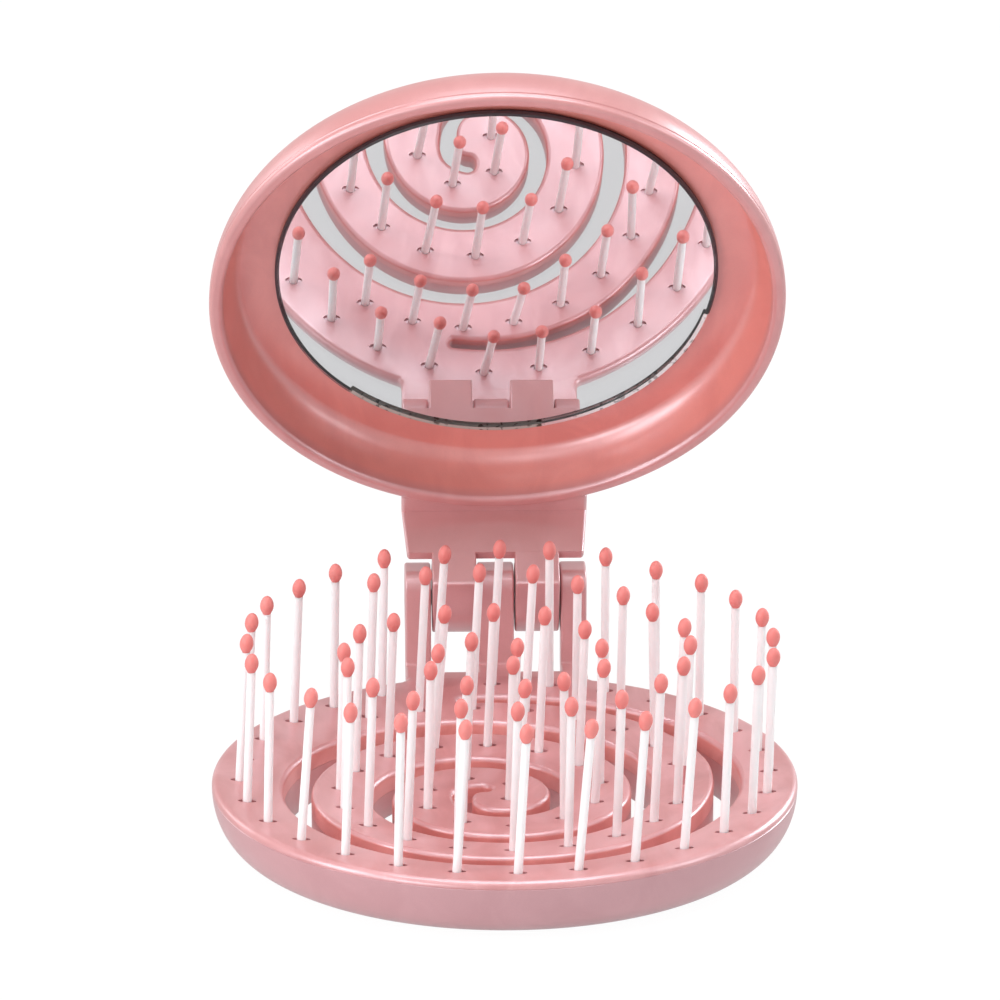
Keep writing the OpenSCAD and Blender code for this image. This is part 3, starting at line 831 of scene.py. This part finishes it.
bristle_row("ring", ring_points, RING_LEANS)
bristle_row("outer_spiral", spiral_points[:OUTER_TURN_N], SPIRAL_LEANS[:OUTER_TURN_N])
bristle_row("inner_spiral", spiral_points[OUTER_TURN_N:], SPIRAL_LEANS[OUTER_TURN_N:])


# ---- Hinge pin ----------------------------------------------------------------
# A pin of drawn steel wire, pressed into the posts, which the lid's two knuckles
# turn on. Its ends show in the outer posts.
DRAWN_STRETCH = (40, 2500, 2500)

steel, tree, shader = new_material("drawn_steel")
coords = value_node(tree, "ShaderNodeTexCoord")
drawn_lines = value_node(tree, "ShaderNodeMapping", {"Scale": DRAWN_STRETCH})
link(tree, coords.outputs["Object"], drawn_lines.inputs["Vector"])
scratches = noise(tree, 1, place=drawn_lines.outputs["Vector"])
link(tree, ranged(tree, scratches, 0.25, 0.45), shader.inputs["Roughness"])
set_sockets(shader, {"Base Color": (0.6, 0.6, 0.61, 1), "Metallic": 1})
finish_node("hinge_pin", steel)


# ---- Lid frame ----------------------------------------------------------------
# The inner shell of the lid half: a rounded lip, a hollow cove behind it and a
# shelf round the mirror, moulded in one piece of the pearl plastic.
LIP_Z, OPEN_ANGLE = HINGE_Z + 9.85, 62.5
LIP_W, LIP_ROUND, COVE_W, COVE_TOP = 2.1, 0.75, 3.1, 0.8
LID_SEAM, COVE_SHADE, LIP_CLEAR = 0.14, 1.8, 1.2
RIB_D, WALL_W, WALL_D = 0.8, 0.65, 0.5
MIRROR_IN, GLASS_T, MIRROR_R, PAD_ROOM = 7.15, 1.0, 34.1, 0.5
SHELF_D = MIRROR_IN + GLASS_T + PAD_ROOM
LIP_IN = SHELL_R - LIP_W
COVE_IN = LIP_IN - COVE_W
hinge_line = Matrix.Translation((0, HINGE_Y, HINGE_Z))
lid_open = hinge_line @ Matrix.Rotation(math.radians(-OPEN_ANGLE), 4, "X") @ hinge_line.inverted()

frame_front = (arc(SHELL_R - LIP_ROUND, LIP_ROUND, LIP_ROUND, -LIP_ROUND, 0, 90, 6)
               + arc(LIP_IN + COVE_TOP, COVE_TOP, -COVE_TOP, -COVE_TOP, 90, 0, 8)
               + arc(COVE_IN, COVE_TOP, COVE_W, SHELF_D - COVE_TOP, 4, 84, 18)
               + [(COVE_IN - 0.35, SHELF_D - 0.01), (COVE_IN - 0.8, SHELF_D)]
               + [(r, SHELF_D) for r in (36.5, 34.6, 30, 15, 0)])
frame_rear = ([(r, SHELF_D + RIB_D) for r in (0, 20, 37.5)]
              + arc(COVE_IN, COVE_TOP, COVE_W + WALL_W, SHELF_D - COVE_TOP + WALL_D, 90, 8, 10)
              + [(COVE_IN + COVE_W + WALL_W, PARTING), (SHELL_R - LID_SEAM, PARTING),
                 (SHELL_R, PARTING - LID_SEAM)])
frame_profile = [(r, LIP_Z + d) for r, d in frame_rear + frame_front]
lid_frame = as_object(turned_solid(frame_profile), "lid_frame_shell")


def into_cove(co):
    """How far a point of the frame lies in the cove, behind the lip."""
    if math.hypot(co.x, co.y) >= SHELL_R - LIP_CLEAR:
        return 0.0
    return (co.z - LIP_Z - COVE_TOP) / COVE_SHADE


# Painted shade, deeper and warmer, in the cove behind the lip.
mark_hollow(lid_frame, into_cove)
finish_piece(lid_frame, "lid", pearl, ["lid_frame"], turn=lid_open)


# ---- Lid tab and knuckles -----------------------------------------------------
# The tab that hangs from the lid's rim and runs down into two knuckles between
# the posts. One moulding with the frame.
TAB_OUT, TAB_T, TAB_END = 8.5, 1.5, 1.65
TAB_FLARE, TAB_TAPER, TAB_EDGE = 0.35, 0.75, 0.5
WEB_D, WEB_LOW = 0.7, 3.8
LUG_W, LUG_EDGE, LUG_BORE_PLAY = KNUCKLE_W + 0.3, 0.3, 0.06
tab_y = HINGE_Y - TAB_OUT
web_in = LIP_IN + 0.15
tab_side = [(tab_y, HINGE_Z + TAB_END), (tab_y + TAB_T, HINGE_Z + TAB_END),
            (tab_y + TAB_T, LIP_Z + WEB_LOW - 1.4), (tab_y + TAB_T - 0.4, LIP_Z + WEB_LOW - 0.4),
            (tab_y + TAB_T - 1.4, LIP_Z + WEB_LOW), (web_in, LIP_Z + WEB_LOW),
            (web_in, LIP_Z + WEB_D), (tab_y, LIP_Z + WEB_D)]
knuckle_side = ([(tab_y + 0.02, HINGE_Z + TAB_END + 1.4), (tab_y + 0.02, HINGE_Z - 4.4),
                 (tab_y + 0.3, HINGE_Z - 4.95), (tab_y + 0.9, HINGE_Z - 5.2)]
                + arc(HINGE_Y, HINGE_Z, KNUCKLE_R, KNUCKLE_R, 252, 500, 36)
                + [(tab_y + 4.0, HINGE_Z + TAB_END + 2.4)])
knuckle_x = MID_POST_W / 2 + KNUCKLE_GAP + KNUCKLE_W / 2
tab_slab = along_x(rounded_slab(tab_side, -HINGE_W / 2, HINGE_W / 2, TAB_EDGE), 0)
tab_top = LIP_Z + WEB_D
for v in tab_slab.verts:
    down = min(1.0, max(0.0, (tab_top - v.co.z) / (tab_top - HINGE_Z - TAB_END)))
    v.co.x += (TAB_FLARE - TAB_TAPER * down) * math.copysign(1, v.co.x)
tab_parts = [tab_slab]
for x in (-knuckle_x, knuckle_x):
    tab_parts.append(along_x(rounded_slab(knuckle_side, -LUG_W / 2, LUG_W / 2, LUG_EDGE), x))
lid_tab = joined(tab_parts, "lid_tab")
cut(lid_tab, pin_bore(LUG_BORE_PLAY))
# The tab and knuckles take the lighter pearl copy: painted light.
finish_piece(lid_tab, "lid", painted_lit_pearl, ["lid_frame"], turn=lid_open)


# ---- Lid cover ----------------------------------------------------------------
# The outer shell of the lid half, with a rounded side and a slightly domed back, in
# the same pearl plastic as the frame. It meets the frame at a fine seam round the
# outside, just behind the lip.
DOME, COVER_H, COVER_R = 1.4, 10.65, 36.6
COVER_T, CROWN_T = 0.9, 1.1
cover_w, cover_depth = SHELL_R - COVER_R, COVER_H - PARTING
crown_radii = [COVER_R * (1 - i / 12) for i in range(1, 13)]
cover_out = arc(COVER_R, PARTING, cover_w, cover_depth, 1.5, 90, 26)
crown = [(r, COVER_H + DOME * (1 - (r / COVER_R) ** 2)) for r in crown_radii]
cover_in = arc(COVER_R, PARTING, cover_w - COVER_T, cover_depth - 0.65, 90, 0, 12)
cover_edge = [(SHELL_R - COVER_T, PARTING), (SHELL_R - LID_SEAM, PARTING),
              (SHELL_R, PARTING + LID_SEAM)]
cover_profile = ([(r, d - CROWN_T) for r, d in reversed(crown)] + cover_in[:-1] + cover_edge
                 + cover_out + crown)
lid_cover = as_object(turned_solid([(r, LIP_Z + d) for r, d in cover_profile]), "lid_cover_shell")
cut(lid_cover, notch_tool(8, LIP_Z + 3.9 - 4))
finish_piece(lid_cover, "lid", pearl, ["lid_cover"], turn=lid_open)


# ---- Mirror -------------------------------------------------------------------
# A disc of float glass, silvered behind, with a ground and slightly chipped edge. Round most of the
# edge, on the glass and the silver, painted shade stands in for the edge in deep shade, and to the
# right of the hinge a bright chamfer is a painted highlight. Backing paint and foam tape are behind
# it.
clear_glass, tree, shader = new_material("float_glass")
link(tree, ranged(tree, noise(tree, 60, 4), 0.0, 0.02, 0.55, 0.8), shader.inputs["Roughness"])
set_sockets(shader, {"Base Color": (0.985, 0.985, 0.99, 1), "Transmission Weight": 1, "IOR": 1.5})


def chipped_material(name, scale, detail, step, whole, chipped, metallic, roughness):
    """The glass's ground edge, in one colour with another where it is chipped."""
    material, tree, shader = new_material(name)
    chips = soft_step(tree, noise(tree, scale, detail), *step)
    link(tree, mixed(tree, chips, whole, chipped), shader.inputs["Base Color"])
    set_sockets(shader, {"Metallic": metallic, "Roughness": roughness})
    return material


ground_edge = chipped_material("ground_glass_edge", 700, 5, (0.54, 0.62),
                               (0.5, 0.49, 0.45), (0.1, 0.09, 0.07), 0.4, 0.4)
# A painted highlight: a bright chamfer, put only where light falls to the right of the hinge, with
# darker chips.
highlit_chamfer = chipped_material("painted_highlight_chamfer", 520, 4, (0.56, 0.64),
                            (0.95, 0.95, 0.96), (0.45, 0.44, 0.44), 0.9, 0.25)

# Painted shade: near black, for the edge where it lies in deep shade.
painted_shade_edge, tree, shader = new_material("painted_edge_shade")
edge_shade_tone = mixed(tree, noise(tree, 330, 5), (0.07, 0.065, 0.075), (0.04, 0.035, 0.045))
link(tree, edge_shade_tone, shader.inputs["Base Color"])
shader.inputs["Roughness"].default_value = 0.45

GLASS_CHAMFER, GROUND_R = 0.3, 33.2
SEAT_TILT, SEAT_LIFT = 0.26, 0.06
seat = LIP_Z + MIRROR_IN
glass_back = seat + GLASS_T
seated = (lid_open @ Matrix.Translation((0, 0, glass_back - SEAT_LIFT))
          @ Matrix.Rotation(math.radians(SEAT_TILT), 4, "Y") @ Matrix.Translation((0, 0, -glass_back)))


CLEAR, HIGHLIT, GROUND, DARK = 0, 1, 2, 3
HIGHLIT_FROM, GROUND_FROM, DARK_FROM = 15, 77, 132


def edge_material(turn):
    """The ground edge carries a painted highlight to the right of the hinge, is grey with chips in
    front of it, and carries painted shade elsewhere, where it lies in deep shade."""
    if not HIGHLIT_FROM < turn < DARK_FROM:
        return DARK
    return HIGHLIT if turn < GROUND_FROM else GROUND


def mirror_layer(name, profile, materials, choose, node):
    """A flat round layer of the mirror, with a material chosen for each face from its
    radius, what the edge is like there, and whether the face is level."""
    made = as_object(turned_solid(profile), name)
    chosen = []
    for face in made.data.polygons:
        x, y, _ = face.center
        turn = math.degrees(math.atan2(y, x)) % 360
        chosen.append(choose(math.hypot(x, y), edge_material(turn), abs(face.normal.z) > 0.95))
    finish_piece(made, "lid", materials, [node], weighted=False, turn=seated)
    made.data.shade_flat()
    made.data.polygons.foreach_set("material_index", chosen)


glass_profile = [(0, seat), (GROUND_R, seat), (MIRROR_R - GLASS_CHAMFER, seat),
                 (MIRROR_R, seat + GLASS_CHAMFER),
                 (MIRROR_R, glass_back), (0, glass_back)]
mirror_layer("mirror_disc", glass_profile, [clear_glass, highlit_chamfer, ground_edge, painted_shade_edge],
             lambda r, edge, level: CLEAR if level and (r < GROUND_R or edge == DARK) else edge,
             "mirror_glass")

silvering, tree, shader = new_material("silvering")
link(tree, mixed(tree, noise(tree, 35), (0.9, 0.91, 0.92), (0.94, 0.95, 0.96)),
     shader.inputs["Base Color"])
set_sockets(shader, {"Metallic": 1, "Roughness": 0.0})

# The silvering's outer ring, where the edge lies in shade, carries painted shade.
SILVER_R, SILVER_T, SILVER_LIFT, SHADED_RIM_W = 34.0, 0.1, 0.001, 0.55
silver_front, silver_rear = glass_back + SILVER_LIFT, glass_back + SILVER_T
silver_profile = [(0, silver_front), (SILVER_R - SHADED_RIM_W, silver_front), (SILVER_R, silver_front),
                  (SILVER_R, silver_rear), (0, silver_rear)]
mirror_layer("mirror_silvering", silver_profile, [silvering, painted_shade_edge],
             lambda r, edge, level: 1 if r > SILVER_R - SHADED_RIM_W and edge == DARK else 0,
             "mirror_silver")

backing, tree, shader = new_material("backing_paint")
link(tree, ranged(tree, noise(tree, 900), 0.55, 0.8), shader.inputs["Roughness"])
shader.inputs["Base Color"].default_value = (0.035, 0.035, 0.037, 1)
finish_node("mirror_backing", backing)

foam, tree, shader = new_material("foam_tape")
coords = value_node(tree, "ShaderNodeTexCoord")
cells = value_node(tree, "ShaderNodeTexVoronoi", {"Scale": 3000})
link(tree, coords.outputs["Object"], cells.inputs["Vector"])
foam_bump = value_node(tree, "ShaderNodeBump", {"Strength": 0.3, "Distance": 0.0002})
link(tree, cells.outputs["Distance"], foam_bump.inputs["Height"])
link(tree, foam_bump.outputs["Normal"], shader.inputs["Normal"])
set_sockets(shader, {"Base Color": (0.7, 0.7, 0.69, 1), "Roughness": 0.9})
finish_node("mirror_pad", foam)
